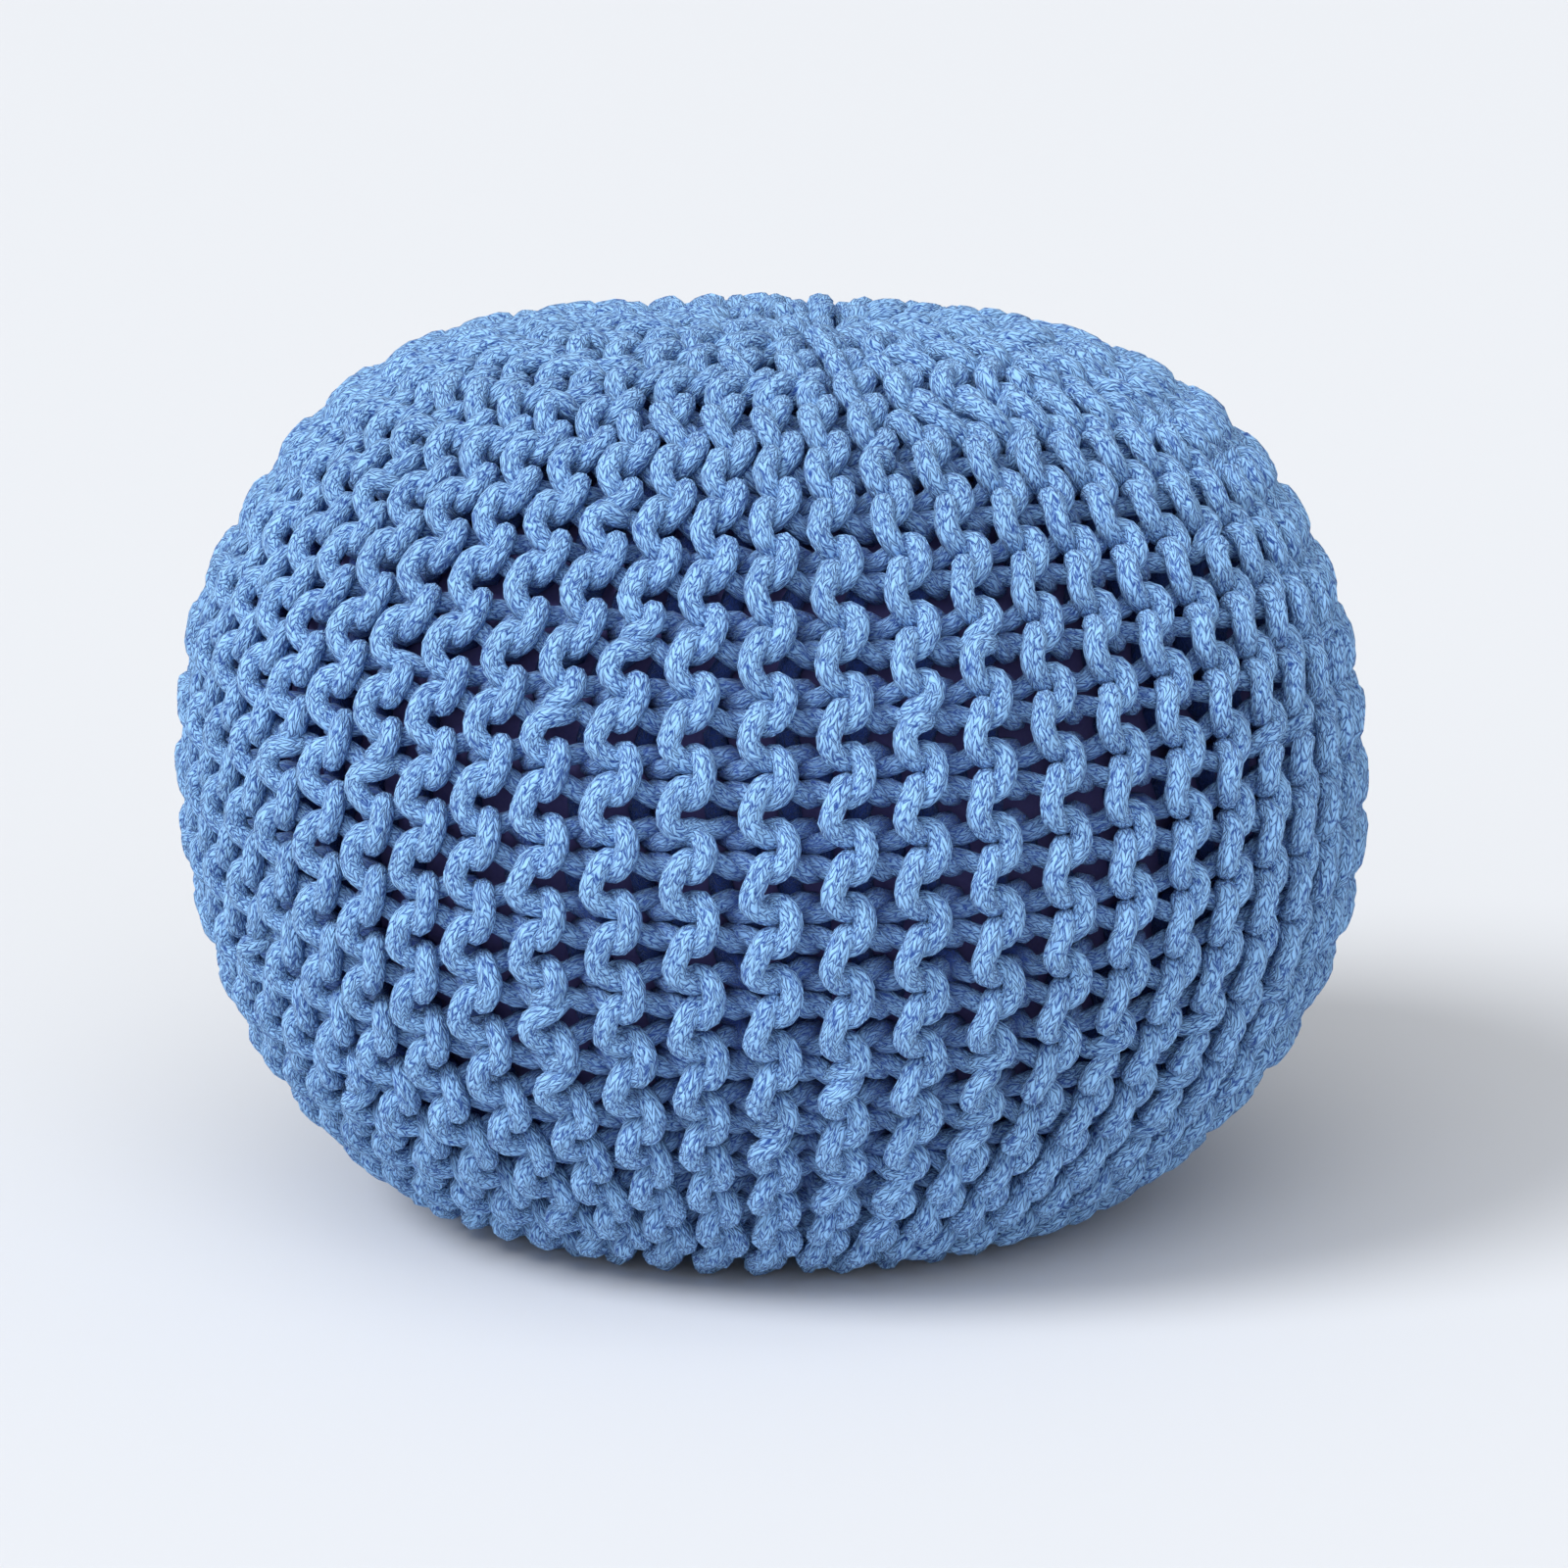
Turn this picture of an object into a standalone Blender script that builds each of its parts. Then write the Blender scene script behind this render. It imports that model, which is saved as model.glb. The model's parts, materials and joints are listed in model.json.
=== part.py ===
"""Knitted pouf: one filled round body of thick cord in garter stitch, standing on its flattened base.

Units are metres and +Z is up. The origin is on the floor under the middle of the body, and +Y points
away from the viewer. Garter ridges run over the body from the gathered top to the gathered bottom. The
cover is shaped with short rows, so some ridges stop before the middle and the rest draw together there.
"""

import math

import bmesh
import bpy
import numpy as np

# Driving dimensions
DIAMETER = 0.500  # over the ridge crests at the widest level
WIDEST_LEVEL = 0.1716  # height of the widest level above the floor
CROWN_RISE = 0.2073  # from the widest level up to the top
BELLY_DROP = 0.1938  # from the widest level down, before the floor flattens the base
# An ellipse has 2 and 2: more makes the sides steeper, or the top and the base flatter
CROWN_STEEPNESS = 3.40
CROWN_FLATNESS = 2.16
BELLY_STEEPNESS = 2.67
BELLY_FLATNESS = 1.80
FLOOR_EASE = 0.014  # how softly the base turns up off the floor

RIDGES = 54  # garter ridges around the widest level, two knitted rows each
RIDGE_DEPTH = 0.008  # from a crest down to the groove beside it
FULL_DEPTH_PITCH = 0.022  # a ridge crowded below this width is shallower in proportion
GROOVE_SHARPNESS = 1.5  # 1 is an even wave, and more has broad crests with narrow grooves

# Short rows: in each group of six ridges only the first is whole, and the others stop some stitches early
SHORT_BY = (0, 5, 3, 1, 2, 4)
STITCHES = 24  # along a whole ridge
GATHER = 0.018  # the whole ridges end this far from the middle, where the cover is drawn together
CLOSE_BEFORE = 0.016  # the neighbours start to close up this far before a ridge's end
CLOSE_OVER = 0.028

DIMPLE_DEPTH = 0.006  # where the top is gathered
DIMPLE_RADIUS = 0.035
GATHER_OFFSET = 0.018  # the gathered ends sit this far to the right of the middle
TILT = 0.020  # the crown is this much higher to the left, as a slope

# Unevenness of the filling: height of the swell, waves round the body, waves from top to bottom, phase
SWELLS = ((0.0020, 2, 1.0, 0.7), (0.0014, 3, 1.6, 2.1), (0.0010, 5, 2.4, 4.0))
# Wander of the ridge lines: sideways travel, waves round the body, waves from top to bottom, phase
WANDERS = ((0.0022, 4, 1.5, 1.1), (0.0014, 9, 3.0, 0.2))

COLUMNS_PER_RIDGE = 4
RINGS = 26
PROFILE_STEPS = 1201

CORD_COLOUR = (0.115, 0.262, 0.584, 1.0)
CORD_ROUGHNESS = 0.9


def clear_scene():
    for thing in list(bpy.data.objects):
        bpy.data.objects.remove(thing, do_unlink=True)


def settle_on_floor(height):
    """Flatten what lies under the floor, with a soft turn instead of a sharp edge."""
    nearness = np.maximum(FLOOR_EASE - np.abs(height), 0) / FLOOR_EASE
    return np.maximum(height, 0) + nearness**2 * FLOOR_EASE / 4


def crest_profile():
    """Distance from the top, radius and height along the line over the ridge crests."""
    rise = np.linspace(math.pi / 2, -math.pi / 2, PROFILE_STEPS)
    crown = rise > 0
    steepness = np.where(crown, CROWN_STEEPNESS, BELLY_STEEPNESS)
    flatness = np.where(crown, CROWN_FLATNESS, BELLY_FLATNESS)
    reach = np.where(crown, CROWN_RISE, BELLY_DROP)
    radius = DIAMETER / 2 * np.abs(np.cos(rise)) ** (2 / steepness)
    height = WIDEST_LEVEL + reach * np.sign(rise) * np.abs(np.sin(rise)) ** (2 / flatness)
    height = settle_on_floor(height)
    height -= np.where(crown, DIMPLE_DEPTH * np.exp(-((radius / DIMPLE_RADIUS) ** 2)), 0)
    radius[[0, -1]] = 0
    steps = np.hypot(np.diff(radius), np.diff(height))
    return np.concatenate([[0], np.cumsum(steps)]), radius, height


def ridge_widths(from_middle, full_length):
    """Widths of a group's six ridges, in ridges, at this distance from the nearer end."""
    stitch = (full_length - 2 * GATHER) / STITCHES
    smooth = []
    for short in SHORT_BY:
        past_end = from_middle - GATHER - short * stitch
        share = min(max((past_end + CLOSE_BEFORE) / CLOSE_OVER, 0), 1) if short else 1
        smooth.append(share * share * (3 - 2 * share))
    return [len(SHORT_BY) * share / sum(smooth) for share in smooth]


def groove_share(turn, from_middle, full_length):
    """0 on a crest to 1 in a groove, and the width of the ridge there, in ridges."""
    widths = ridge_widths(from_middle, full_length)
    place = (turn * RIDGES - 0.5 + widths[0] / 2) % len(SHORT_BY)
    for width in widths:
        if place < width:
            wave = (1 + math.cos(2 * math.pi * place / width)) / 2
            return wave**GROOVE_SHARPNESS, width
        place -= width
    return 1.0, widths[-1]


def waves(table, turn, along_share):
    """The sum of a table's slow waves, fading out at the gathered ends."""
    fade = math.sin(math.pi * along_share)
    total = 0.0
    for height, around, down, phase in table:
        total += height * math.sin(2 * math.pi * (around * turn + down * along_share) + phase)
    return total * fade


def body_point(turn, along_share, profile):
    """Place of the surface at this share of a turn and of the way from the top to the bottom."""
    along, radii, heights = profile
    at = along_share * along[-1]
    from_middle = min(at, along[-1] - at)
    radius = float(np.interp(at, along, radii))
    height = float(np.interp(at, along, heights))
    step = along[-1] / PROFILE_STEPS
    run = float(np.interp(at + step, along, radii) - np.interp(at - step, along, radii))
    drop = float(np.interp(at - step, along, heights) - np.interp(at + step, along, heights))
    slope = math.hypot(run, drop) or 1.0

    groove, ridge_width = groove_share(turn, from_middle, along[-1])
    pitch = 2 * math.pi * radius / RIDGES * ridge_width
    off_floor = min(height / RIDGE_DEPTH, 1)
    depth = RIDGE_DEPTH * min(pitch / FULL_DEPTH_PITCH, 1) * off_floor * groove
    swell = waves(SWELLS, turn, along_share) * off_floor
    out = swell - depth
    out_radius = radius + out * drop / slope
    out_height = height + out * run / slope

    wander = waves(WANDERS, turn, along_share) / max(radius, DIMPLE_RADIUS)
    angle = 2 * math.pi * turn + wander
    to_middle = 1 - min(radius / (DIAMETER / 2), 1)
    x = out_radius * math.cos(angle) + GATHER_OFFSET * to_middle**3
    y = out_radius * math.sin(angle)
    out_height -= TILT * x * max(height - WIDEST_LEVEL, 0) / CROWN_RISE
    return x, y, max(out_height, 0.0)


def cord_material():
    """Thick cotton cord, dyed mid blue, as the knitted cover."""
    material = bpy.data.materials.new("blue_cotton_cord")
    material.use_nodes = True
    shader = material.node_tree.nodes["Principled BSDF"]
    shader.inputs["Base Color"].default_value = CORD_COLOUR
    shader.inputs["Roughness"].default_value = CORD_ROUGHNESS
    shader.inputs["Metallic"].default_value = 0.0
    material.diffuse_color = CORD_COLOUR
    return material


def knitted_pouf():
    """The filled body: a sphere whose points are moved to the profile, ridges and dimple."""
    profile = crest_profile()
    shape = bmesh.new()
    bmesh.ops.create_uvsphere(
        shape, u_segments=RIDGES * COLUMNS_PER_RIDGE, v_segments=RINGS, radius=1
    )
    for point in shape.verts:
        from_top = math.acos(max(-1, min(1, point.co.z)))
        along_share = round(from_top / math.pi * RINGS) / RINGS
        turn = math.atan2(point.co.y, point.co.x) / (2 * math.pi) % 1
        point.co = body_point(turn, along_share, profile)
    places = np.array([point.co for point in shape.verts])
    middle = (places.min(axis=0) + places.max(axis=0)) / 2
    bmesh.ops.translate(shape, vec=(-middle[0], -middle[1], 0), verts=shape.verts)
    bmesh.ops.recalc_face_normals(shape, faces=shape.faces)
    mesh = bpy.data.meshes.new("knitted_pouf")
    shape.to_mesh(mesh)
    shape.free()
    mesh.shade_smooth()
    mesh.materials.append(cord_material())
    return bpy.data.objects.new("knitted_pouf", mesh)


def main():
    clear_scene()
    parts = bpy.data.collections.new("knitted_pouf_parts")
    bpy.context.scene.collection.children.link(parts)
    parts.objects.link(knitted_pouf())


main()
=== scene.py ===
# %% [markdown]
# # A knitted pouf
# This pouf is a round filled body in a cover of thick cotton cord. The cover is knitted by hand in garter
# stitch, sideways: each row runs from the top of the pouf to the bottom, and two rows make one ridge. Here
# every stitch is modelled as real cord. One stitch is drawn from a few listed points, repeated over the
# body, and the cords are then settled against each other, the way they press together on the real cover.

import json
import math

import bmesh
import bpy
import numpy as np
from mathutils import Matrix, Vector

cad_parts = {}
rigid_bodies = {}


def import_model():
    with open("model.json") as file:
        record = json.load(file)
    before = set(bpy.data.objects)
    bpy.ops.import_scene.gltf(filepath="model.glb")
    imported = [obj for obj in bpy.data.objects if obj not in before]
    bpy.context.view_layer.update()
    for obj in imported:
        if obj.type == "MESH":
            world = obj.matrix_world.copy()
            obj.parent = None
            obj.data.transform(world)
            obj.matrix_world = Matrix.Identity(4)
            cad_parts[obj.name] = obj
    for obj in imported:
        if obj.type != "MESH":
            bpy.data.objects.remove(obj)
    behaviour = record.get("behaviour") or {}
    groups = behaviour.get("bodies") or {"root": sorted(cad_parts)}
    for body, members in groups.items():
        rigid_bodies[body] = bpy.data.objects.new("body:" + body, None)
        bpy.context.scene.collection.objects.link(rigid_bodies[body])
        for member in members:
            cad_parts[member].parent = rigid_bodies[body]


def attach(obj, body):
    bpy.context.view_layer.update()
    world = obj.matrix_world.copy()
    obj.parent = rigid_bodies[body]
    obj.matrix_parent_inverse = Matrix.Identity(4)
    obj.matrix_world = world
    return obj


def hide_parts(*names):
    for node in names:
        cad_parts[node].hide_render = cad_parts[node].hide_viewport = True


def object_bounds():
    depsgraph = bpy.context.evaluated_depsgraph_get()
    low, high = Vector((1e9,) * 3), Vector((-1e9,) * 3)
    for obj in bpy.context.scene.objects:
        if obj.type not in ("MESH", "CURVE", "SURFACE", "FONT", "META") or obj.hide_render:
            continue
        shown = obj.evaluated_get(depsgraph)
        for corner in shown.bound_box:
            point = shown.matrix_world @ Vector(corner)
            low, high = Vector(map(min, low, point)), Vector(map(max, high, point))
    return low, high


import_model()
cad_low, cad_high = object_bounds()
MM = 0.001
print("solid model, mm:", [round((high - low) / MM) for low, high in zip(cad_low, cad_high)])

# %% [markdown]
# ## The round body
# The cover follows a body that is flatter than a ball: full at the shoulder, narrower below, flat where it
# stands, and drawn in where the top is gathered. Its outline could be drawn as a curve by hand. A formula is
# used instead, a squared-off ellipse above the widest level and another below it, so that any place on the
# body can be worked out from two numbers: the share of a turn round it and the distance down from the top.

# %% Sizes of the body in metres, the same as the solid model's
DIAMETER = 0.500  # over the tops of the ridges at the widest level
WIDEST_LEVEL = 0.1716
CROWN_RISE = 0.2073  # from the widest level up to the top
BELLY_DROP = 0.1938  # from the widest level down, before the floor flattens the base
CROWN_STEEPNESS = 3.40  # an ellipse has 2, and more makes the sides steeper
CROWN_FLATNESS = 2.16  # an ellipse has 2, and more makes the top flatter
BELLY_STEEPNESS = 2.67
BELLY_FLATNESS = 1.80
FLOOR_EASE = 0.014  # how softly the base turns up off the floor
DIMPLE_DEPTH = 0.006  # where the top is gathered
DIMPLE_RADIUS = 0.035
GATHER_OFFSET = 0.018  # the gathered ends sit this far to the right of the middle
TILT = 0.020  # the crown is this much higher to the left, as a slope
# Swells of the filling: height, waves round the body, waves from top to bottom, phase
SWELLS = ((0.0020, 2, 1.0, 0.7), (0.0014, 3, 1.6, 2.1), (0.0010, 5, 2.4, 4.0))
# Wander of the ridge lines: sideways travel, waves round the body, waves from top to bottom, phase
WANDERS = ((0.0022, 4, 1.5, 1.1), (0.0014, 9, 3.0, 0.2))

# %% [markdown]
# Soft knitting stands a little fuller than the plain solid, and its crown leans a little to the right. One
# larger size would spoil the base and the top, so a short table is used: its first line is the height above
# the floor, and the other two say how far the cover moves out and to the right there.

# %% Where the cover stands fuller than the solid model, in metres
EASE_HEIGHT = (0.000, 0.003, 0.045, 0.080, 0.255, 0.300)
EASE_OUT = (0.0000, 0.0022, 0.0022, 0.0040, 0.0040, 0.0000)
EASE_RIGHT = (0.0, 0.0, 0.0, 0.0, 0.0, 0.0028)
print("fuller at the waist by, mm:", max(EASE_OUT) / MM)

# %% The outline over the tops of the ridges
PROFILE_STEPS = 6001


def settle_on_floor(height):
    """Flatten what lies under the floor, with a soft turn instead of a sharp edge."""
    nearness = np.maximum(FLOOR_EASE - np.abs(height), 0) / FLOOR_EASE
    return np.maximum(height, 0) + nearness**2 * FLOOR_EASE / 4


def crest_profile():
    """Distance from the top, radius and height along the outline."""
    rise = np.linspace(math.pi / 2, -math.pi / 2, PROFILE_STEPS)
    crown = rise > 0
    steepness = np.where(crown, CROWN_STEEPNESS, BELLY_STEEPNESS)
    flatness = np.where(crown, CROWN_FLATNESS, BELLY_FLATNESS)
    reach = np.where(crown, CROWN_RISE, BELLY_DROP)
    radius = DIAMETER / 2 * np.abs(np.cos(rise)) ** (2 / steepness)
    height = WIDEST_LEVEL + reach * np.sign(rise) * np.abs(np.sin(rise)) ** (2 / flatness)
    height = settle_on_floor(height)
    height -= np.where(crown, DIMPLE_DEPTH * np.exp(-((radius / DIMPLE_RADIUS) ** 2)), 0)
    radius[[0, -1]] = 0
    steps = np.hypot(np.diff(radius), np.diff(height))
    return np.concatenate([[0], np.cumsum(steps)]), radius, height


PROFILE = crest_profile()
FULL_LENGTH = PROFILE[0][-1]
print(f"from the top over the side to the middle of the base: {FULL_LENGTH / MM:.0f} mm")


# %% Any place on the body
SWELL_FADE = 8 * MM  # the swells fade out below this height
SLOPE_STEP = 1.5 * MM  # the outline's slope is measured this far to both sides
TURN_STEP = 0.002  # and the surface's slopes this far, round the body and down it
DOWN_STEP = 3 * MM


def waves(table, turn, down_share):
    """The sum of a table's slow waves, fading out at the gathered ends."""
    total = 0.0
    for height, around, down, phase in table:
        total = total + height * np.sin(2 * math.pi * (around * turn + down * down_share) + phase)
    return total * np.sin(math.pi * down_share)


def crest_place(turn, distance):
    """Where the tops of the ridges lie, at this share of a turn and distance from the top."""
    along, radii, heights = PROFILE
    radius = np.interp(distance, along, radii)
    height = np.interp(distance, along, heights)
    before, after = distance - SLOPE_STEP, distance + SLOPE_STEP
    run = np.interp(after, along, radii) - np.interp(before, along, radii)
    drop = np.interp(before, along, heights) - np.interp(after, along, heights)
    slope = np.maximum(np.hypot(run, drop), 1e-9)
    share = np.clip(distance / FULL_LENGTH, 0, 1)
    out = waves(SWELLS, turn, share) * np.clip(height / SWELL_FADE, 0, 1)
    out = out + np.interp(height, EASE_HEIGHT, EASE_OUT)
    angle = 2 * math.pi * turn + waves(WANDERS, turn, share) / np.maximum(radius, DIMPLE_RADIUS)
    to_middle = 1 - np.clip(radius / (DIAMETER / 2), 0, 1)
    out_radius = radius + out * drop / slope
    x = out_radius * np.cos(angle) + GATHER_OFFSET * to_middle**3
    x = x + np.interp(height, EASE_HEIGHT, EASE_RIGHT)
    y = out_radius * np.sin(angle)
    tilt = TILT * x * np.maximum(height - WIDEST_LEVEL, 0) / CROWN_RISE
    return np.stack([x, y, height + out * run / slope - tilt], axis=-1)


def crest_and_outward(turn, distance):
    """The place and the outward direction there."""
    here = crest_place(turn, distance)
    round_step = crest_place(turn + TURN_STEP, distance) - crest_place(turn - TURN_STEP, distance)
    lower = np.minimum(distance + DOWN_STEP, FULL_LENGTH)
    upper = np.maximum(distance - DOWN_STEP, 0)
    down_step = crest_place(turn, lower) - crest_place(turn, upper)
    outward = np.cross(down_step, round_step)
    return here, outward / np.maximum(np.linalg.norm(outward, axis=-1, keepdims=True), 1e-12)


# The body is centred on the solid model by the box of a grid of its points
sample_turn, sample_distance = np.meshgrid(np.linspace(0, 1, 361), np.linspace(0, FULL_LENGTH, 181))
sample = crest_place(sample_turn, sample_distance).reshape(-1, 3)
sample_middle = (sample.min(axis=0) + sample.max(axis=0)) / 2
CENTRING = (np.array(cad_low) + np.array(cad_high)) / 2 - sample_middle
CENTRING[2] = 0
print("body, mm:", np.round((sample.max(axis=0) - sample.min(axis=0)) / MM).tolist())

# %% [markdown]
# ## Ridges and short rows
# At the widest level 54 ridges stand side by side, about 29 mm apart. Towards the top and the bottom there is
# less room, so the knitter makes short rows: most ridges stop a few stitches early, and their neighbours
# close up behind them. Only every sixth ridge reaches the gathered middle. The table gives how many stitches
# early each ridge of a group of six stops, and everything else follows from it.

# %% Ridges, stitches and short rows
RIDGES = 54
SHORT_BY = np.array([0, 5, 3, 1, 2, 4])  # stitches that each ridge of a group stops before the first one
GROUP = len(SHORT_BY)
STITCHES = 24  # on a ridge that runs the whole way
GATHER = 0.018  # the whole ridges end this far from the middle
STITCH = (FULL_LENGTH - 2 * GATHER) / STITCHES
CLOSE_BEFORE = 0.016  # the neighbours start to close up this far before a ridge's end
CLOSE_OVER = 0.028  # and have closed up after this much
print(f"a stitch is {STITCH / MM:.1f} mm long")
print("stitches on the knit rows:", (RIDGES // GROUP) * int((STITCHES - 2 * SHORT_BY).sum()))


def ridge_widths(distance):
    """Widths of a group's six ridges, in ridges of the widest level, at this distance from the top."""
    from_middle = np.minimum(distance, FULL_LENGTH - distance)[..., None]
    ends = np.where(SHORT_BY > 0, GATHER + SHORT_BY * STITCH, -1.0)  # the whole ridge never ends
    share = np.clip((from_middle - ends + CLOSE_BEFORE) / CLOSE_OVER, 0, 1)
    smooth = share * share * (3 - 2 * share)
    return GROUP * smooth / smooth.sum(axis=-1, keepdims=True)


def ridge_middle(ridge, widths):
    """Where the middle of a ridge runs, counted in ridges of the widest level."""
    left = np.cumsum(widths, axis=-1) - widths / 2 - widths[..., :1] / 2
    return ridge // GROUP * GROUP + 0.5 + left[..., ridge % GROUP]


def active_neighbour(ridge, level, step):
    """The next ridge, to the right or the left, that has a stitch at this level."""
    beside = ridge + step
    while not SHORT_BY[beside % GROUP] <= level < STITCHES - SHORT_BY[beside % GROUP]:
        beside += step
    return beside


# %% [markdown]
# ## One stitch
# In garter stitch a knit row and a purl row take turns. The cord of a knit row comes up from the back, makes
# a short bow on the front, and goes down again to pass behind the next row. A purl row is the same line
# turned half a turn, so one set of points gives both. The points below are listed one by one and read from
# the top down; a smooth curve then goes through them.

# %% Points of the knit row over one stitch
CORD = 9.5 * MM  # thickness of the cord where it shows on the front
THIN_CORD = 8.2 * MM  # drawn thinner where it passes between its neighbours
TABLE_PITCH = 29.0  # the table is drawn for ridges this far apart
TABLE_STITCH = 29.2
STITCH_POINTS = (  # mm: across to the right, down the ridge, out from the middle of the fabric
    (-21.0, -13.4, -11.0),
    (-18.4, -8.8, -11.0),
    (-13.4, -4.6, -6.5),
    (-8.8, -4.0, -1.5),
    (-4.1, -5.8, 0.0),
    (1.5, -8.1, 2.5),
    (5.6, -6.4, 7.1),
    (6.7, -1.7, 8.0),
    (4.4, 2.9, 8.0),
    (0.3, 6.3, 7.3),
    (-4.0, 7.9, 2.5),
    (-8.5, 6.5, -1.0),
    (-15.0, 6.4, -5.0),
    (-20.0, 9.2, -9.4),
    (-21.6, 12.4, -11.0),
)
KNIT_HALF = 8.4 * MM  # from the middle of the fabric out to the middle of the cord, at the top of a bow
PURL_HALF = 11.4 * MM
FABRIC_HALF = PURL_HALF + CORD / 2  # from the middle of the fabric out to the tops of the ridges
print(f"the fabric is {2 * FABRIC_HALF / MM:.0f} mm thick over the purl bows")


# %% A smooth curve through points
def curve_slopes(knots, at):
    """Directions of a smooth curve at its knots."""
    return np.gradient(knots, at, axis=0)


def on_curve(knots, at, slopes, where):
    """Points of the smooth curve through the knots."""
    index = np.clip(np.searchsorted(at, where, side="right") - 1, 0, len(at) - 2)
    width = (at[index + 1] - at[index])[:, None]
    part = (where - at[index])[:, None] / width
    return (
        (2 * part**3 - 3 * part**2 + 1) * knots[index]
        + (part**3 - 2 * part**2 + part) * width * slopes[index]
        + (-2 * part**3 + 3 * part**2) * knots[index + 1]
        + (part**3 - part**2) * width * slopes[index + 1]
    )


def lengths_along(points):
    """Length from the first point to each point."""
    return np.concatenate([[0], np.cumsum(np.linalg.norm(np.diff(points, axis=0), axis=1))])


# %% The knit and the purl stitch
POINTS_PER_STITCH = 26
FINE_STEPS = 1201  # for measuring along the curve


def knit_stitch():
    """Evenly spaced points of one stitch: share of a ridge across, share of a stitch down, metres out."""
    points = np.array(STITCH_POINTS)
    count = len(points)
    step = np.array([0, TABLE_STITCH, 0])
    knots = np.vstack([points - step, points, points + step])
    at = lengths_along(knots)
    where = np.linspace(at[count], at[2 * count], FINE_STEPS)
    fine = on_curve(knots, at, curve_slopes(knots, at), where)
    length = lengths_along(fine)
    even = np.linspace(0, length[-1], POINTS_PER_STITCH + 1)[:-1]
    line = np.stack([np.interp(even, length, fine[:, axis]) for axis in range(3)], axis=1)
    print(f"cord in one stitch of one row, as drawn: {length[-1]:.0f} mm")
    return line / [TABLE_PITCH, TABLE_STITCH, 1 / MM]


KNIT = knit_stitch()
PURL = KNIT[-np.arange(POINTS_PER_STITCH) % POINTS_PER_STITCH] * [1, -1, -1] + [0.5, 0, 0]
PURL[0, 1] -= 1

# %% [markdown]
# ## Ends of the rows
# At the end of a row the cord turns back inside the cover. Only the last half bow shows, and then the cord
# dives under its neighbours. The whole ridges run a little further and sink where the cover is gathered.

# %% Points past the last stitch
# Across in ridges, on past the last stitch in stitches, out in metres
KNIT_END = ((-0.69, 0.10, -11 * MM), (-0.64, 0.16, -15 * MM))
PURL_END = ((-0.19, 0.11, 6 * MM), (-0.18, 0.19, 0.5 * MM), (-0.17, 0.20, -6 * MM), (-0.16, 0.18, -12 * MM))
KNIT_GATHER = ((-0.68, 0.20, -12 * MM), (-0.65, 0.36, -19 * MM), (-0.6, 0.45, -28 * MM))
PURL_GATHER = (
    (-0.2, 0.14, 7.5 * MM),
    (-0.2, 0.28, 5.5 * MM),
    (-0.2, 0.40, 1 * MM),
    (-0.2, 0.48, -6 * MM),
    (-0.2, 0.52, -14 * MM),
    (-0.2, 0.54, -22 * MM),
)


# %% A whole row
def row_line(ridge, purl):
    """A whole row from the top to the bottom: shares across, stitches down, metres out."""
    short = SHORT_BY[ridge % GROUP]
    stitch = PURL if purl else KNIT
    levels = np.arange(short, STITCHES - short)
    line = np.concatenate([stitch + [0, level + 0.5, 0] for level in levels])
    line = np.vstack([line, stitch[0] + [0, levels[-1] + 1.5, 0]])
    gathered = short == 0
    if purl:
        end = np.array(PURL_GATHER if gathered else PURL_END)
        across = line[0, 0] + end[:, 0] - end[0, 0]
    else:
        end = np.array(KNIT_GATHER if gathered else KNIT_END)
        across = end[:, 0]
    top = np.stack([across, line[0, 1] - end[:, 1], end[:, 2]], axis=1)[::-1]
    bottom = np.stack([across, line[-1, 1] + end[:, 1], end[:, 2]], axis=1)
    return np.vstack([top, line, bottom])


# %% Laying a row on the body
def pitch_beside(ridge, level, widths, step):
    """How far the next stitch beside this one is, in ridges of the widest level."""
    beside = active_neighbour(ridge, level, step)
    return abs(ridge_middle(beside, widths) - ridge_middle(ridge, widths))


def lay_row(ridge, line):
    """Places, outward directions and heights over the middle of the fabric, for a row's points."""
    short = SHORT_BY[ridge % GROUP]
    across, stitches_down, out = line.T
    distance = GATHER + stitches_down * STITCH
    widths = ridge_widths(np.clip(distance, 0, FULL_LENGTH))
    levels = np.arange(short, STITCHES - short)
    place_on = np.clip(stitches_down - 0.5, levels[0], levels[-1])
    upper = np.minimum(np.floor(place_on).astype(int), levels[-1])
    lower = np.minimum(upper + 1, levels[-1])
    blend = place_on - upper
    pitch = np.zeros(len(line))
    for step in (-1, 1):
        side = across * step > 0
        table = np.stack([pitch_beside(ridge, level, widths, step) for level in levels])
        index = np.arange(len(line))
        near = table[upper - short, index] * (1 - blend) + table[lower - short, index] * blend
        pitch[side] = near[side]
    turn = (ridge_middle(ridge, widths) + across * pitch) / RIDGES
    crest, outward = crest_and_outward(turn, distance)
    return crest + CENTRING, outward, out


# %% [markdown]
# ## Handwork is uneven
# No two stitches of a hand-knitted cover are alike. Each stitch gets its own small shift, height and slant
# from a seeded random generator, so the pouf comes out the same every time the script runs.

# %% Unevenness of the stitches
# Each is the usual size of a draw, and about one in three draws is larger
SHIFT_ACROSS = 0.022  # in ridges
SHIFT_DOWN = 0.020  # in stitches
SHIFT_OUT = 0.5 * MM
SLANT = 0.035  # in ridges, from the top of a bow to its foot
uneven = np.random.default_rng(12)


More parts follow.
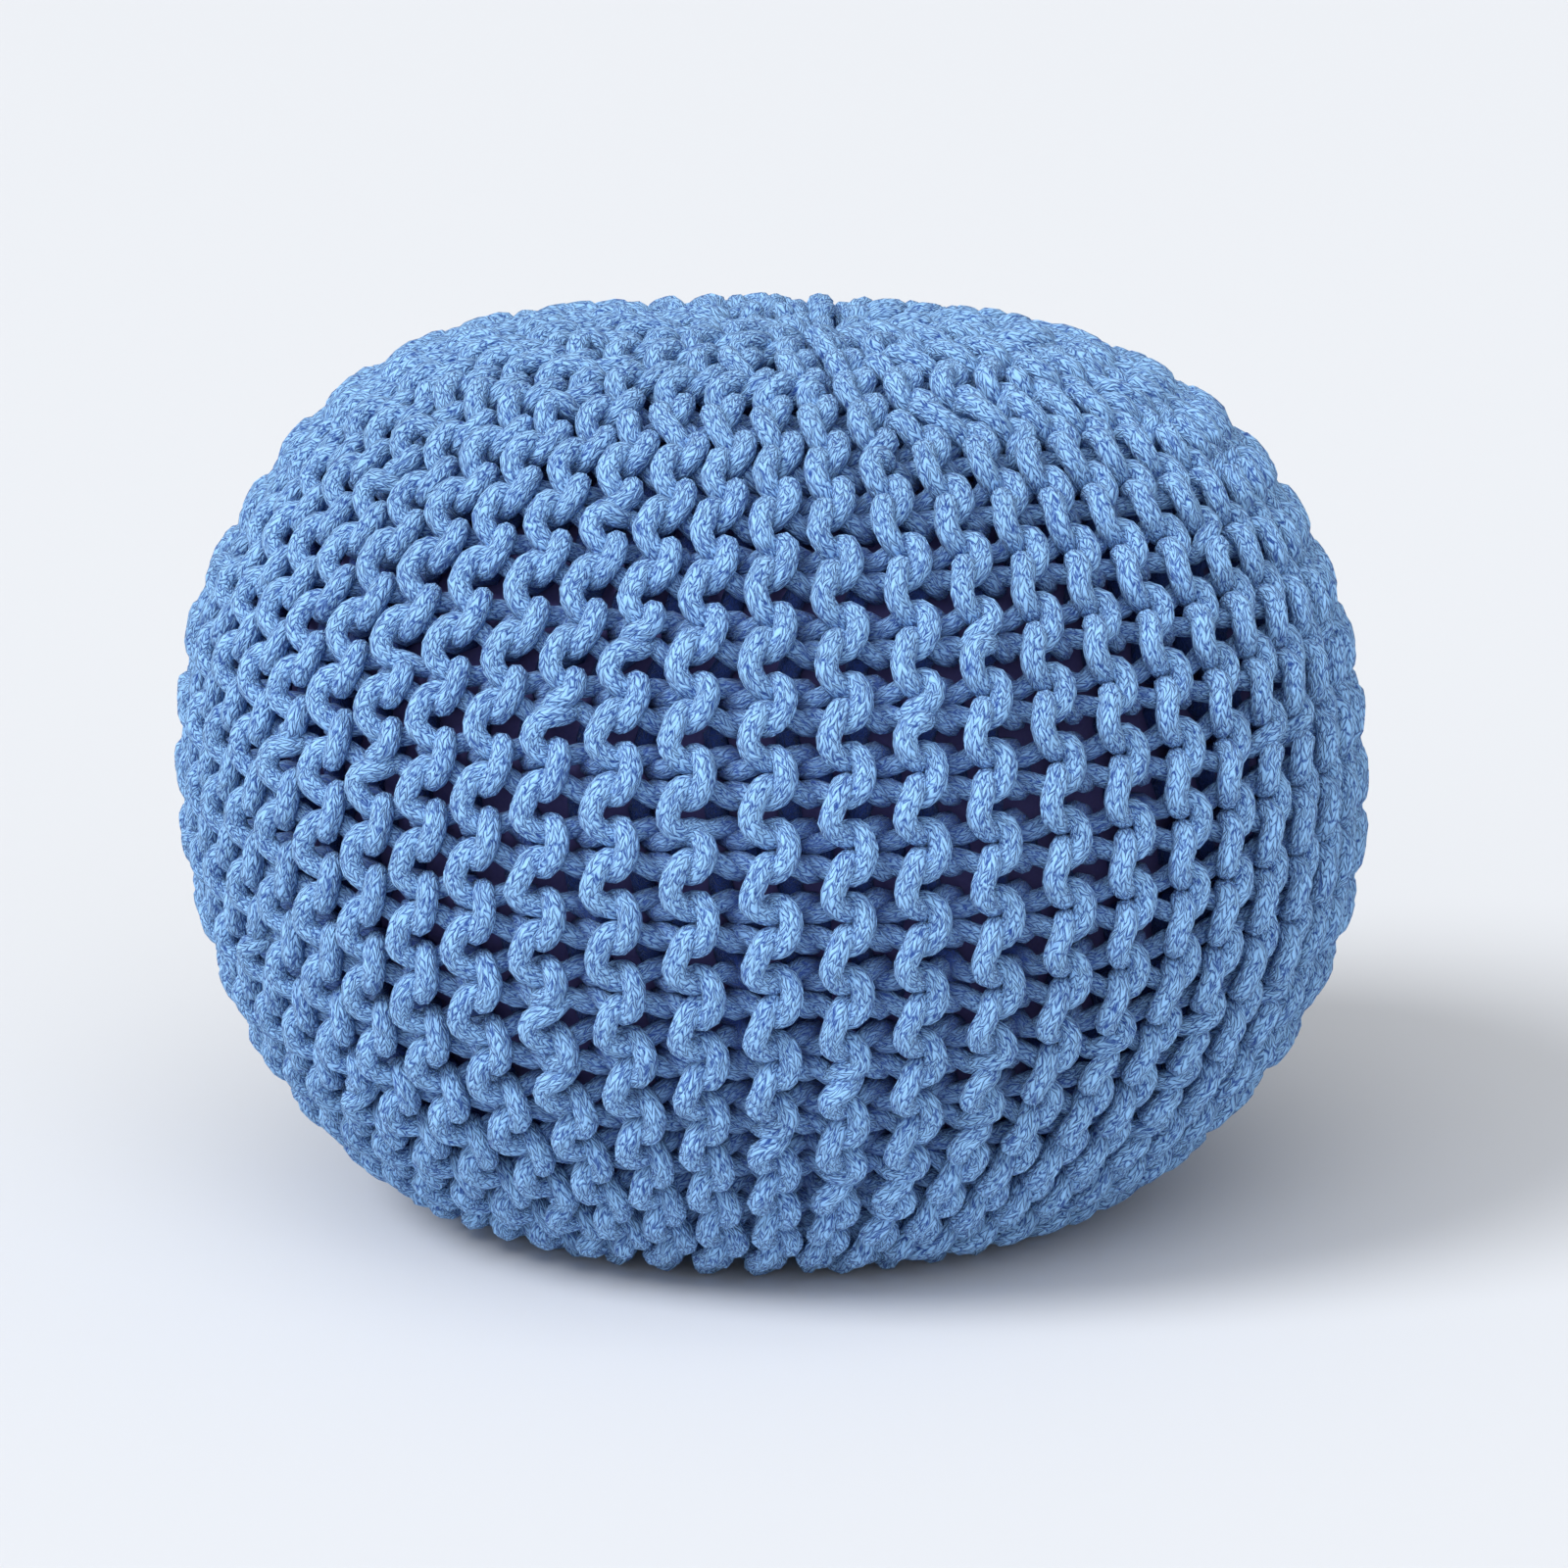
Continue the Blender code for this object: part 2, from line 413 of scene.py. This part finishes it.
def make_uneven(line):
    """Shifts each stitch of a row a little, with smooth changes from one stitch to the next."""
    centres = np.arange(-1, STITCHES + 2) + 0.5
    draws = uneven.normal(size=(4, len(centres)))
    across, down, out, slant = (np.interp(line[:, 1], centres, draw) for draw in draws)
    place_in_stitch = (line[:, 1] % 1) - 0.5
    front = np.clip(line[:, 2] / KNIT_HALF, -1, 1)
    line = line.copy()
    line[:, 0] += SHIFT_ACROSS * across + SLANT * slant * place_in_stitch * front
    line[:, 1] += SHIFT_DOWN * down
    line[:, 2] += SHIFT_OUT * out * front
    return line


# %% Lay every row
THICK_FROM = 3 * MM  # the cord starts to swell this far from the middle of the fabric
THICK_OVER = 5.5 * MM  # and has its full thickness after this much
PRESSED_CORD = 5.5 * MM  # how thin the soft cord gives way where other cords cross it, out of sight


def cord_radius(out, thin_cord):
    """Radius of the cord: full on the front and the back, thinner where it passes through the fabric."""
    share = np.clip((np.abs(out) - THICK_FROM) / THICK_OVER, 0, 1)
    share = share * share * (3 - 2 * share)
    padded = np.pad(share, 1, mode="edge")
    share = (padded[:-2] + padded[1:-1] + padded[2:]) / 3
    return (thin_cord + (CORD - thin_cord) * share) / 2


rows = []
for ridge in range(RIDGES):
    for purl in (False, True):
        line = row_line(ridge, purl)
        radius = cord_radius(line[:, 2], THIN_CORD)
        pressed = cord_radius(line[:, 2], PRESSED_CORD)
        crest, outward, out = lay_row(ridge, make_uneven(line))
        highest = np.full(len(line), PURL_HALF if purl else KNIT_HALF)
        rows.append(
            {
                "crest": crest,
                "outward": outward,
                "out": out,
                "radius": radius,
                "pressed": pressed,
                "highest": highest,
            }
        )
print("rows:", len(rows), "points:", sum(len(row["crest"]) for row in rows))

# %% [markdown]
# ## Settling the cords
# The rows as drawn still cut into each other in places. On the real cover the cords push each other aside
# until each finds its room. That is worked out here in many small steps: each stretch of cord keeps near its
# length, bends little, moves away from its neighbours, stays near its own place, and doesn't rise over the
# tops of the ridges or sink into the floor. The knit is tight, so cords that cross still run into each other
# after it, by about 3 mm in most places and more in a few. Soft cord would be squashed there.

# %% Everything about the cords in long arrays
CORD_PER_STITCH = 84 * MM  # what one stitch of one row is drawn in to at the widest level
SHORTEST_LINK = 0.80  # of an even share, where the cord is drawn shorter
OWN_LENGTH = 10.5 * MM  # cord this near along the same row doesn't count as a neighbour

net_crest = np.concatenate([row["crest"] for row in rows])
net_outward = np.concatenate([row["outward"] for row in rows])
net_out = np.concatenate([row["out"] for row in rows])
net_radius = np.concatenate([row["radius"] for row in rows])
net_pressed = np.concatenate([row["pressed"] for row in rows])
net_highest = np.concatenate([row["highest"] for row in rows])
net_row = np.concatenate([np.full(len(row["out"]), index) for index, row in enumerate(rows)])
net_home = net_crest + net_outward * (net_out - FABRIC_HALF)[:, None]
link_start = np.flatnonzero(net_row[1:] == net_row[:-1])
drawn_length = np.linalg.norm(net_home[link_start + 1] - net_home[link_start], axis=1)
even_length = CORD_PER_STITCH / POINTS_PER_STITCH
link_length = np.clip(drawn_length, SHORTEST_LINK * even_length, even_length)
inner = np.flatnonzero(net_row[4:] == net_row[:-4]) + 2  # points with two more on both sides
OWN_POINTS = math.ceil(OWN_LENGTH / even_length)
print("links between points:", len(link_start))


# %% Which cords are close to each other
def near_pairs(places, reach):
    """Pairs of points of different stretches of cord that are closer than the reach, found cell by cell."""
    cell = np.floor((places - places.min(axis=0)) / reach).astype(np.int64) + 1
    span = cell.max() + 2
    key = (cell[:, 0] * span + cell[:, 1]) * span + cell[:, 2]
    order = np.argsort(key, kind="stable")
    sorted_key = key[order]
    found = []
    steps = [(x, y, z) for x in (-1, 0, 1) for y in (-1, 0, 1) for z in (-1, 0, 1)]
    own_cell_and_half = steps[len(steps) // 2 :]  # the other half would find each pair again
    for x, y, z in own_cell_and_half:
        other = key + (x * span + y) * span + z
        start = np.searchsorted(sorted_key, other, side="left")
        count = np.searchsorted(sorted_key, other, side="right") - start
        first = np.repeat(np.arange(len(places)), count)
        within = np.arange(len(first)) - np.repeat(np.cumsum(count) - count, count)
        second = order[np.repeat(start, count) + within]
        if (x, y, z) == (0, 0, 0):
            once = second > first
            first, second = first[once], second[once]
        close = np.linalg.norm(places[first] - places[second], axis=1) < reach
        first, second = first[close], second[close]
        own = (net_row[first] == net_row[second]) & (np.abs(first - second) <= OWN_POINTS)
        found.append(np.stack([first[~own], second[~own]]))
    return np.concatenate(found, axis=1)


# %% One step of settling
GIVE = 0.25 * MM  # cords that run into each other by less than this aren't pushed
PUSH = 1.3  # a little more than each push asks for, because pushes from many sides are averaged
BEND = 0.15  # how much of each bend is eased
HOME = 0.25  # how much of the way back to its own place each point goes
TINY = 1e-6  # keeps a division away from zero


def keep_lengths(places):
    """Draws both ends of each link together or apart to its length, every other link at a time."""
    for half in (0, 1):
        start = link_start[link_start % 2 == half]
        length = link_length[link_start % 2 == half]
        gap = places[start + 1] - places[start]
        now = np.maximum(np.linalg.norm(gap, axis=1), TINY)
        move = gap * ((now - length) / now / 2)[:, None]
        places[start] += move
        places[start + 1] -= move


def ease_bends(places):
    """Moves each point towards the smooth curve through the two points on either side of it."""
    sides = places[inner - 1] + places[inner + 1]
    far_sides = places[inner - 2] + places[inner + 2]
    places[inner] += BEND * ((4 * sides - far_sides) / 6 - places[inner])


def push_apart(places, first, second):
    """Moves cords that cut into each other apart, and gives the number of touching pairs."""
    gap = places[first] - places[second]
    now = np.linalg.norm(gap, axis=1)
    wanted = net_pressed[first] + net_pressed[second] - GIVE
    touching = now < wanted
    first, second, gap, now = first[touching], second[touching], gap[touching], now[touching]
    move = gap * ((wanted[touching] - now) / np.maximum(now, TINY) / 2)[:, None]
    both = np.concatenate([first, second])
    touches = np.maximum(np.bincount(both, minlength=len(places)), 1)
    for axis in range(3):
        pushes = np.concatenate([move[:, axis], -move[:, axis]])
        total = np.bincount(both, weights=pushes, minlength=len(places))
        places[:, axis] += PUSH * total / touches
    return len(first)


def stay_under_crests(places):
    """Keeps the cords under the tops of the ridges and above the floor."""
    over = ((places - net_crest) * net_outward).sum(axis=1) + FABRIC_HALF - net_highest
    places -= net_outward * np.maximum(over, 0)[:, None]
    places[:, 2] = np.maximum(places[:, 2], net_radius)


# %% Settle
ROUNDS = 160
RELIST_EVERY = 20  # rounds between two new lists of the cords that are close
NEAR = 12 * MM

net_places = net_home.copy()
for step in range(ROUNDS):
    if step % RELIST_EVERY == 0:
        near_first, near_second = near_pairs(net_places, NEAR)
    keep_lengths(net_places)
    ease_bends(net_places)
    touching_now = push_apart(net_places, near_first, near_second)
    net_places += HOME * (net_home - net_places)
    stay_under_crests(net_places)
length_now = np.linalg.norm(net_places[link_start + 1] - net_places[link_start], axis=1)
print(f"pairs near: {len(near_first)}, touching: {touching_now}")
print(f"cord in the whole cover: {length_now.sum():.0f} m")

# %% [markdown]
# ## From lines to cord
# A round section is swept along each settled line with Geometry Nodes, which is what a curve's bevel does
# too. The node tree also stores how far along and how far round the cord each point lies, because the
# cord's own texture is drawn from those two numbers. Bows on the front get more rings than what is hidden.

# %% Points for the sweep
FRONT_SPACING = 3.1 * MM  # from ring to ring
BACK_SPACING = 7.0 * MM
FRONT_FROM = -5 * MM  # the rings start to close up at this height over the middle of the fabric
FRONT_OVER = 4 * MM


def sweep_points(places, out, radius):
    """Points along one row, close together on the front and further apart behind."""
    at = lengths_along(places)
    slopes = curve_slopes(places, at)
    front = np.clip((out - FRONT_FROM) / FRONT_OVER, 0, 1)
    spacing = BACK_SPACING + (FRONT_SPACING - BACK_SPACING) * front
    density = np.concatenate([[0], np.cumsum(np.diff(at) * (1 / spacing[1:] + 1 / spacing[:-1]) / 2)])
    count = max(int(round(density[-1])), 3)
    where = np.interp(np.linspace(0, density[-1], count + 1), density, at)
    points = on_curve(places, at, slopes, where)
    return points, np.interp(where, at, radius), where, np.interp(where, at, out)


# %% The node tree that sweeps a cord
def add_node(tree, kind, inputs=None, **settings):
    """Adds a node. Each input is given a plain value, or a socket that is linked to it."""
    node = tree.nodes.new(kind)
    for name, value in settings.items():
        setattr(node, name, value)
    for name, value in (inputs or {}).items():
        if isinstance(value, bpy.types.NodeSocket):
            tree.links.new(value, node.inputs[name])
        else:
            node.inputs[name].default_value = value
    return node


SIDES = 8  # of the cord's round section


def cord_sweep_tree():
    """Sweeps a round section along mesh lines, and stores where round the cord each point lies."""
    tree = bpy.data.node_groups.new("cord_sweep", "GeometryNodeTree")
    tree.interface.new_socket("Geometry", in_out="INPUT", socket_type="NodeSocketGeometry")
    tree.interface.new_socket("Geometry", in_out="OUTPUT", socket_type="NodeSocketGeometry")
    lines = add_node(tree, "NodeGroupInput")
    curves = add_node(tree, "GeometryNodeMeshToCurve", {"Mesh": lines.outputs[0]})
    circle = add_node(tree, "GeometryNodeCurvePrimitiveCircle", {"Resolution": SIDES, "Radius": 1.0})
    spot = add_node(tree, "GeometryNodeInputPosition")
    section = add_node(
        tree,
        "GeometryNodeStoreNamedAttribute",
        {"Geometry": circle.outputs[0], "Name": "around", "Value": spot.outputs[0]},
        data_type="FLOAT_VECTOR",
    )
    radius = add_node(tree, "GeometryNodeInputNamedAttribute", {"Name": "radius_here"})
    cord = add_node(
        tree,
        "GeometryNodeCurveToMesh",
        {
            "Curve": curves.outputs[0],
            "Profile Curve": section.outputs[0],
            "Scale": radius.outputs[0],
            "Fill Caps": True,
        },
    )
    smooth = add_node(tree, "GeometryNodeSetShadeSmooth", {"Geometry": cord.outputs[0]})
    result = add_node(tree, "NodeGroupOutput")
    tree.links.new(smooth.outputs[0], result.inputs[0])
    return tree


CORD_SWEEP = cord_sweep_tree()


# %% One piece of the cover for each group of ridges
def link(thing):
    """Puts an object into the scene."""
    bpy.context.scene.collection.objects.link(thing)
    return thing


def cover_piece(name, members):
    """Sweeps the rows with these numbers into one mesh."""
    places, edges, radii, distances, heights = [], [], [], [], []
    for index in members:
        own = net_row == index
        out = ((net_places[own] - net_crest[own]) * net_outward[own]).sum(axis=1) + FABRIC_HALF
        points, radius, along, height = sweep_points(net_places[own], out, net_radius[own])
        start = sum(len(part) for part in places)
        edges += [(start + n, start + n + 1) for n in range(len(points) - 1)]
        places.append(points)
        radii.append(radius)
        distances.append(along)
        heights.append(height / MM)
    lines = bpy.data.meshes.new(name + "_lines")
    lines.from_pydata(np.concatenate(places).tolist(), edges, [])
    for label, values in (("radius_here", radii), ("along", distances), ("height_mm", heights)):
        layer = lines.attributes.new(label, "FLOAT", "POINT")
        layer.data.foreach_set("value", np.concatenate(values).astype(np.float32))
    carrier = link(bpy.data.objects.new(name + "_lines", lines))
    carrier.modifiers.new("sweep", "NODES").node_group = CORD_SWEEP
    graph = bpy.context.evaluated_depsgraph_get()
    mesh = bpy.data.meshes.new_from_object(carrier.evaluated_get(graph))
    mesh.name = name
    bpy.data.objects.remove(carrier)
    bpy.data.meshes.remove(lines)
    return link(bpy.data.objects.new(name, mesh))


cover = []
for group in range(RIDGES // GROUP):
    members = range(group * GROUP * 2, (group + 1) * GROUP * 2)
    cover.append(cover_piece(f"knitted_cover_{group + 1}", members))
triangles = [sum(len(face.vertices) - 2 for face in piece.data.polygons) for piece in cover]
print("triangles in the cover:", sum(triangles), "most in one piece:", max(triangles))
print("attributes kept:", [layer.name for layer in cover[0].data.attributes])

# %% [markdown]
# ## The filled body inside
# Behind the cord is the dark inside of the pouf, which shows only as shadow in the gaps. It is a sphere whose
# points are moved to the same body, some way under the cords, so it closes every gap from any side.

# %% The filled body
INSIDE_DEPTH = 29 * MM  # under the tops of the ridges
INSIDE_ROUND = 96
INSIDE_DOWN = 48


def filled_body():
    """A sphere whose points are moved to the body, under the cords."""
    shape = bmesh.new()
    bmesh.ops.create_uvsphere(shape, u_segments=INSIDE_ROUND, v_segments=INSIDE_DOWN, radius=1)
    start = np.array([point.co for point in shape.verts])
    down_share = np.arccos(np.clip(start[:, 2], -1, 1)) / math.pi
    turn = np.arctan2(start[:, 1], start[:, 0]) / (2 * math.pi) % 1
    crest, outward = crest_and_outward(turn, down_share * FULL_LENGTH)
    outward[down_share < 0.5 / INSIDE_DOWN] = (0, 0, 1)
    outward[down_share > 1 - 0.5 / INSIDE_DOWN] = (0, 0, -1)
    for point, place in zip(shape.verts, crest + CENTRING - outward * INSIDE_DEPTH):
        point.co = place
    bmesh.ops.recalc_face_normals(shape, faces=shape.faces)
    mesh = bpy.data.meshes.new("filled_body")
    shape.to_mesh(mesh)
    shape.free()
    mesh.shade_smooth()
    return link(bpy.data.objects.new("filled_body", mesh))


inside = filled_body()
print("faces of the filled body:", len(inside.data.polygons))

# %% [markdown]
# ## The cotton cord's finish
# The cord is a soft cotton tube knitted from many fine strands, so its surface is rows of small slanted
# strands that meet in a V. Cotton is matt: light spreads in its fluff. The nicks between the strands get
# painted shade.
# The pattern could come from a picture. Here it is worked out from the strands' real sizes instead, so it
# stays sharp from close by. The skin of the cord is laid flat by the two stored numbers, how far along and
# how far round. Folding the second one to and fro turns every other column of strands over, which makes the
# V. A cell pattern that is drawn out along the strands then gives each strand its edge.

# %% Colours
def linear(hex_colour):
    """An sRGB hex colour as linear red, green, blue and alpha."""
    colour = []
    for start in (1, 3, 5):
        part = int(hex_colour[start : start + 2], 16) / 255
        colour.append(part / 12.92 if part <= 0.04045 else ((part + 0.055) / 1.055) ** 2.4)
    return (*colour, 1.0)


BLUE_COTTON = linear("#95c6f7")  # the tops of the strands
NICK_SHADE_BLUE = linear("#2a4a90")  # painted shade in the nicks between the strands
PAINTED_SHADE_BLUE = linear("#2f488e")  # painted shade on cord that lies deep between others
FLUFF_BLUE = linear("#b9d2f2")  # light in the fluff, where the cord turns away
# The inside's dark navy is partly the lining's own colour and partly painted shade of the deep gaps.
INSIDE_NAVY_AND_SHADE = linear("#55528a")
THREAD_NAVY_AND_SHADE = linear("#65629c")
print("blue cotton, linear:", [round(part, 3) for part in BLUE_COTTON])

# %% Where a point lies among the strands
WALES = 8  # columns of V round the cord
HALF_WALE = math.pi * CORD / WALES / 2
STRAND_LENGTH = 5.0 * MM
STRAND_WIDTH = 1.4 * MM
STRAND_SLANT = math.radians(24)  # from the direction of the cord
HALVES_APART = 3.7  # in cells, so that the strands of one half of a V don't line up with the next one's
WANDER_SIZE = 7 * MM  # the columns wander round the cord in waves of this length
WANDER_TURN = 0.8  # radians


def strand_spot(tree, place):
    """Where a point of the cord's skin lies among its slanted strands, with one strand to each unit."""
    along = add_node(tree, "ShaderNodeAttribute", attribute_name="along").outputs["Fac"]
    around = add_node(tree, "ShaderNodeAttribute", attribute_name="around").outputs["Vector"]
    parts = add_node(tree, "ShaderNodeSeparateXYZ", {0: around}).outputs
    angle = add_node(tree, "ShaderNodeMath", {0: parts[1], 1: parts[0]}, operation="ARCTAN2")
    wander = add_node(tree, "ShaderNodeTexNoise", {"Vector": place, "Scale": 1 / WANDER_SIZE, "Detail": 1.0})
    turned = add_node(
        tree,
        "ShaderNodeMath",
        {0: wander.outputs[0], 1: WANDER_TURN, 2: angle.outputs[0]},
        operation="MULTIPLY_ADD",
    )
    width = add_node(tree, "ShaderNodeMath", {0: turned.outputs[0], 1: CORD / 2}, operation="MULTIPLY")
    folded = add_node(tree, "ShaderNodeMath", {0: width.outputs[0], 1: HALF_WALE}, operation="PINGPONG")
    halves = add_node(tree, "ShaderNodeMath", {0: width.outputs[0], 1: HALF_WALE}, operation="DIVIDE")
    half = add_node(tree, "ShaderNodeMath", {0: halves.outputs[0]}, operation="FLOOR")
    flat = add_node(tree, "ShaderNodeCombineXYZ", {0: along, 1: folded.outputs[0], 2: half.outputs[0]})
    slanted = add_node(
        tree,
        "ShaderNodeVectorRotate",
        {"Vector": flat.outputs[0], "Angle": -STRAND_SLANT},
        rotation_type="Z_AXIS",
    )
    into_cells = (1 / STRAND_LENGTH, 1 / STRAND_WIDTH, HALVES_APART)
    spot = add_node(
        tree,
        "ShaderNodeVectorMath",
        {0: slanted.outputs[0], 1: into_cells},
        operation="MULTIPLY",
    )
    return spot.outputs[0]


# %% How high the strands stand
STRAND_EDGE = 0.28  # how far in from its edge a strand has risen, in cells
FIBRES = 2.2  # fine fibres across a strand
FIBRE_HEIGHT = 1.1  # beside a strand's own height of 1


def strand_relief(tree, spot):
    """Height of the cord's skin: the strands with their fibres, and the nicks between them."""
    edge = add_node(
        tree,
        "ShaderNodeTexVoronoi",
        {"Vector": spot, "Scale": 1.0, "Randomness": 1.0},
        feature="DISTANCE_TO_EDGE",
    )
    strand = add_node(
        tree,
        "ShaderNodeMapRange",
        {"Value": edge.outputs["Distance"], "From Max": STRAND_EDGE},
        interpolation_type="SMOOTHSTEP",
    )
    fibre = add_node(
        tree,
        "ShaderNodeTexNoise",
        {"Vector": spot, "Scale": FIBRES, "Detail": 3.0, "Roughness": 0.65},
    )
    relief = add_node(
        tree,
        "ShaderNodeMath",
        {0: fibre.outputs[0], 1: FIBRE_HEIGHT, 2: strand.outputs[0]},
        operation="MULTIPLY_ADD",
    )
    return relief.outputs[0]


# %% Cotton cord
RELIEF_DEPTH = 0.6 * MM
NICK_BELOW = 0.50  # height of the skin that is still all nick
STRAND_ABOVE = 0.98  # and that is all strand
SHADE_BELOW = -9.0  # mm over the middle of the fabric: deeper cord is all painted shade
LIGHT_ABOVE = 5.0
DYE_PATCHES = 14.0  # slow changes of tone, in waves to a metre
PALEST = 1.06
DARKEST = 0.92


def cotton_cord():
    """Matt cotton: pale slanted strands with painted shade in the nicks between them, and painted shade on
    cord that lies deep between the others.
    """
    material = bpy.data.materials.new("knitted_cotton_cord")
    material.use_nodes = True
    tree = material.node_tree
    shader = tree.nodes["Principled BSDF"]

    place = add_node(tree, "ShaderNodeTexCoord").outputs["Object"]
    relief = strand_relief(tree, strand_spot(tree, place))
    bump = add_node(tree, "ShaderNodeBump", {"Height": relief, "Distance": RELIEF_DEPTH, "Strength": 1.0})
    nick = add_node(
        tree,
        "ShaderNodeMapRange",
        {"Value": relief, "From Min": NICK_BELOW, "From Max": STRAND_ABOVE},
    )
    # Painted shade: the nicks between the strands take the darker blue.
    strands = add_node(
        tree, "ShaderNodeMix", {0: nick.outputs[0], 6: NICK_SHADE_BLUE, 7: BLUE_COTTON}, data_type="RGBA"
    )
    height = add_node(tree, "ShaderNodeAttribute", attribute_name="height_mm").outputs["Fac"]
    light = add_node(
        tree,
        "ShaderNodeMapRange",
        {"Value": height, "From Min": SHADE_BELOW, "From Max": LIGHT_ABOVE},
        interpolation_type="SMOOTHSTEP",
    )
    # Painted shade: cord that lies deep between the others is darkened by its height over the middle of the
    # fabric.
    shaded = add_node(
        tree, "ShaderNodeMix", {0: light.outputs[0], 6: PAINTED_SHADE_BLUE, 7: strands.outputs[2]}, data_type="RGBA"
    )
    patches = add_node(tree, "ShaderNodeTexNoise", {"Vector": place, "Scale": DYE_PATCHES, "Detail": 2.0})
    tone = add_node(
        tree,
        "ShaderNodeMapRange",
        {
            "Value": patches.outputs[0],
            "From Min": 0.3,
            "From Max": 0.7,
            "To Min": DARKEST,
            "To Max": PALEST,
        },
    )
    toned = add_node(
        tree, "ShaderNodeVectorMath", {0: shaded.outputs[2], "Scale": tone.outputs[0]}, operation="SCALE"
    )
    tree.links.new(toned.outputs[0], shader.inputs["Base Color"])
    tree.links.new(bump.outputs[0], shader.inputs["Normal"])
    shader.inputs["Roughness"].default_value = 0.95
    shader.inputs["Specular IOR Level"].default_value = 0.15
    shader.inputs["Sheen Weight"].default_value = 0.25
    shader.inputs["Sheen Roughness"].default_value = 0.5
    shader.inputs["Sheen Tint"].default_value = FLUFF_BLUE
    return material


cord_finish = cotton_cord()
for piece in cover:
    piece.data.materials.clear()
    piece.data.materials.append(cord_finish)
print(cord_finish.name, "has", len(cord_finish.node_tree.nodes), "nodes")

# %% Dark cotton inside
THREADS_APART = 1.2 * MM  # about 0.6 mm on real cotton, and drawn twice as coarse so that they show


def inside_cotton_and_shade():
    """The inside seen through the gaps: plain woven cotton, matt and without fluff. Its dark navy is partly
    its own colour and partly painted shade.
    """
    material = bpy.data.materials.new("woven_cotton_and_painted_shade")
    material.use_nodes = True
    tree = material.node_tree
    shader = tree.nodes["Principled BSDF"]
    place = add_node(tree, "ShaderNodeTexCoord").outputs["Object"]
    weave = add_node(tree, "ShaderNodeTexNoise", {"Vector": place, "Scale": 1 / THREADS_APART, "Detail": 2.0})
    colour = add_node(
        tree, "ShaderNodeMix", {0: weave.outputs[0], 6: INSIDE_NAVY_AND_SHADE, 7: THREAD_NAVY_AND_SHADE}, data_type="RGBA"
    )
    tree.links.new(colour.outputs[2], shader.inputs["Base Color"])
    shader.inputs["Roughness"].default_value = 1.0
    shader.inputs["Specular IOR Level"].default_value = 0.1
    return material


inside.data.materials.append(inside_cotton_and_shade())
print("finishes:", [material.name for material in bpy.data.materials])

# %% [markdown]
# ## What the pieces belong to
# Every piece moves with the one body of the pouf and stands for its plain solid.

# %% Tie the pieces to the frame
for piece in cover + [inside]:
    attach(piece, "root")
    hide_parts("knitted_pouf")
print("pieces:", [piece.name for piece in cover + [inside]])

# %% [markdown]
# ## The studio
# The pouf stands on a pale floor that runs on far behind it, like a wide roll of paper, so the background is
# plain from every side. The main soft lamp stands high on the left. Two weaker and wider ones stand beside
# the camera and above it, and the pale room adds a little from all sides.

# %% Floor
FLOOR_SIZE = 80.0  # so wide that its far edge is lost in the pale room

shape = bmesh.new()
bmesh.ops.create_grid(shape, x_segments=1, y_segments=1, size=FLOOR_SIZE / 2)
floor_mesh = bpy.data.meshes.new("floor")
shape.to_mesh(floor_mesh)
shape.free()
paper = bpy.data.materials.new("pale_paper")
paper.use_nodes = True
paper_shader = paper.node_tree.nodes["Principled BSDF"]
paper_shader.inputs["Base Color"].default_value = linear("#dee1e6")
paper_shader.inputs["Roughness"].default_value = 0.8
paper_shader.inputs["Specular IOR Level"].default_value = 0.1
floor_mesh.materials.append(paper)
link(bpy.data.objects.new("floor", floor_mesh))


# %% Lamps
def soft_lamp(name, turn, rise, softness, strength):
    """A far, wide lamp: turn goes from the left round to the front, and all angles are in degrees."""
    lamp = bpy.data.lights.new(name, "SUN")
    lamp.energy = strength
    lamp.angle = math.radians(softness)
    turn, rise = math.radians(turn), math.radians(rise)
    towards = Vector((-math.cos(turn) * math.cos(rise), -math.sin(turn) * math.cos(rise), math.sin(rise)))
    thing = link(bpy.data.objects.new(name, lamp))
    thing.rotation_euler = towards.to_track_quat("Z", "Y").to_euler()


soft_lamp("key_lamp", turn=35, rise=43, softness=25, strength=2.1)
soft_lamp("front_fill", turn=88, rise=25, softness=70, strength=1.35)
soft_lamp("top_fill", turn=90, rise=60, softness=60, strength=0.7)
world = bpy.data.worlds.new("pale_room")
world.use_nodes = True
world.node_tree.nodes["Background"].inputs["Color"].default_value = linear("#ffffff")
world.node_tree.nodes["Background"].inputs["Strength"].default_value = 0.37
bpy.context.scene.world = world
bpy.context.scene.view_settings.view_transform = "Standard"
print("lamps:", [light.name for light in bpy.data.lights])

# %% [markdown]
# ## The camera
# The photo was taken from a little above the pouf with a long lens, which keeps the round outline true. Its
# height and lens come from the outline: the more the camera looks down, the more of the top shows.

# %% Camera
CAMERA_DISTANCE = 2.0
CAMERA_UP = math.radians(11.4)
LOOKED_AT = Vector((0, 0, 0.19))
AIM_RIGHT = 0.0051  # the picture's middle is this far right of and below what is looked at
AIM_DOWN = 0.0139
PICTURE = 1600  # pixels from side to side
FOCAL_PIXELS = 4812  # the focal length in the same pixels
SENSOR = 36.0  # mm

camera = bpy.data.cameras.new("camera")
camera.sensor_width = SENSOR
camera.lens = FOCAL_PIXELS / PICTURE * SENSOR
camera_thing = link(bpy.data.objects.new("camera", camera))
back = Vector((0, -math.cos(CAMERA_UP), math.sin(CAMERA_UP)))
upward = Vector((0, math.sin(CAMERA_UP), math.cos(CAMERA_UP)))
camera_thing.location = LOOKED_AT + CAMERA_DISTANCE * back
aim = LOOKED_AT + Vector((AIM_RIGHT, 0, 0)) - AIM_DOWN * upward
camera_thing.rotation_euler = (aim - camera_thing.location).to_track_quat("-Z", "Y").to_euler()
bpy.context.scene.camera = camera_thing
print(f"lens: {camera.lens:.0f} mm, {CAMERA_DISTANCE:.1f} m from the pouf")
